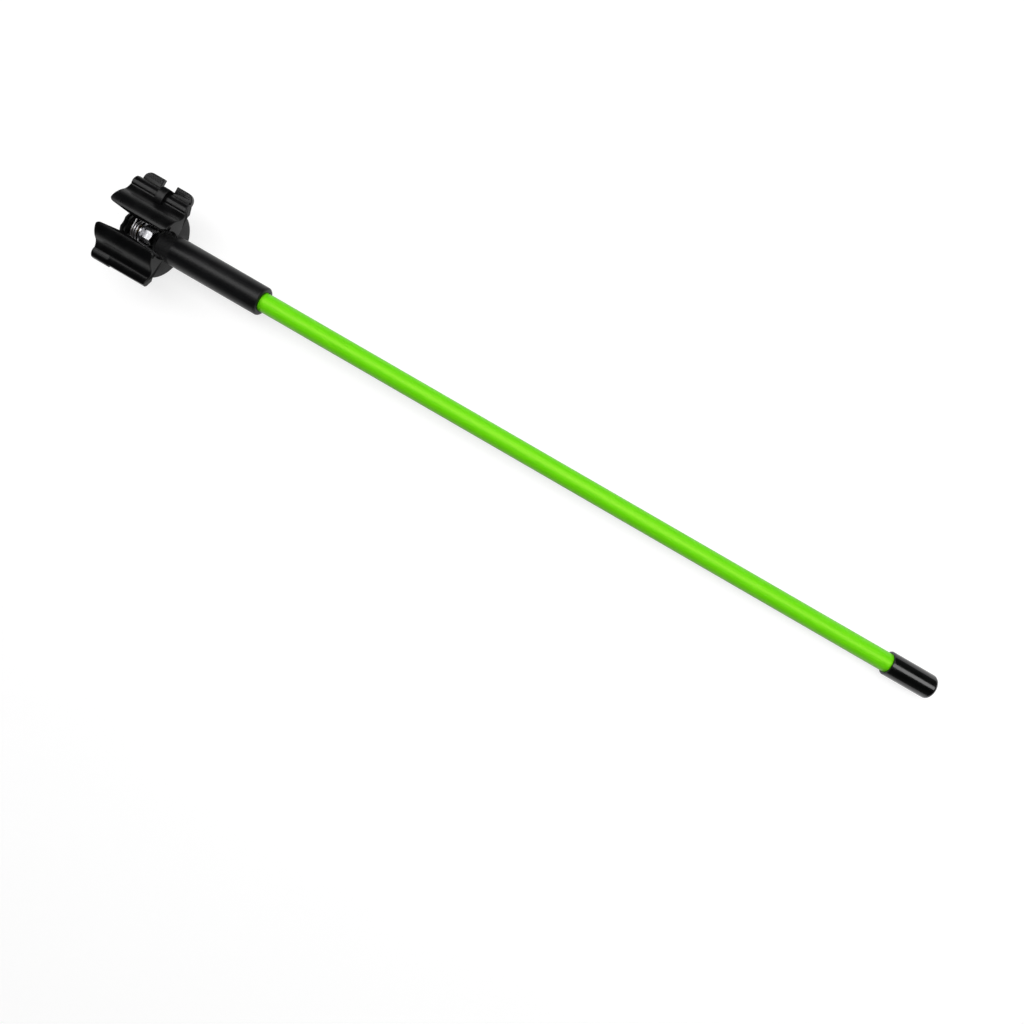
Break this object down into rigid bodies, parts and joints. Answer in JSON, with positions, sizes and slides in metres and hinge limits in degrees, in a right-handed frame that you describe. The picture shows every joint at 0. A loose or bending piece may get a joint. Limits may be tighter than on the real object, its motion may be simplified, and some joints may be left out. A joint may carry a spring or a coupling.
{
  "type": "golf alignment stick",
  "caption": "Clip-on golf alignment stick: a fibreglass rod with a black sleeve, a tip cap and a sprung two-jaw clip that grips a club shaft parallel to the rod.",
  "frame": {"origin": "centre of the clamp seat between the jaws, at the middle of the jaws' length", "axes": "+X from the clip towards the tip of the stick, +Y towards the jaw with the thumb tab, +Z out of the clip's mouth"},
  "size_m": [0.3656, 0.0401, 0.0297],
  "materials": {
    "fibreglass": "lime green pultruded fibreglass with a light sheen",
    "clip_plastic": "satin black moulded nylon",
    "sleeve_rubber": "satin black",
    "cap_vinyl": "gloss black dipped vinyl",
    "zinc_steel": "bright zinc plate",
    "spring_steel": "drawn spring wire",
    "brass": "turned",
    "nylon": "natural nylon",
    "pad_rubber": "matt black, soft"
  },
  "bodies": {
    "stick": {"rod": "fibreglass", "sleeve": "sleeve_rubber", "tip_cap": "cap_vinyl", "hub": "clip_plastic", "threaded_insert": "brass", "pivot_bolt": "zinc_steel", "pivot_bush": "brass", "washer": "zinc_steel", "lock_nut": "zinc_steel", "nut_collar": "nylon", "torsion_spring": "spring_steel", "lower_jaw": "clip_plastic", "lower_pad": "pad_rubber", "jaw_screws": "zinc_steel"},
    "moving_jaw": {"upper_jaw": "clip_plastic", "upper_pad": "pad_rubber", "thumb_tab": "clip_plastic", "tab_screws": "zinc_steel"}
  },
  "joints": [
    {"name": "jaw_hinge", "type": "hinge", "parent": "stick", "child": "moving_jaw", "pos_m": [0, 0, -0.0115], "axis": [-1, 0, 0], "range_deg": [0, 35], "stiffness_Nm_per_rad": 0.12, "springref_deg": -40.11, "deforming": ["torsion_spring"]}
  ]
}
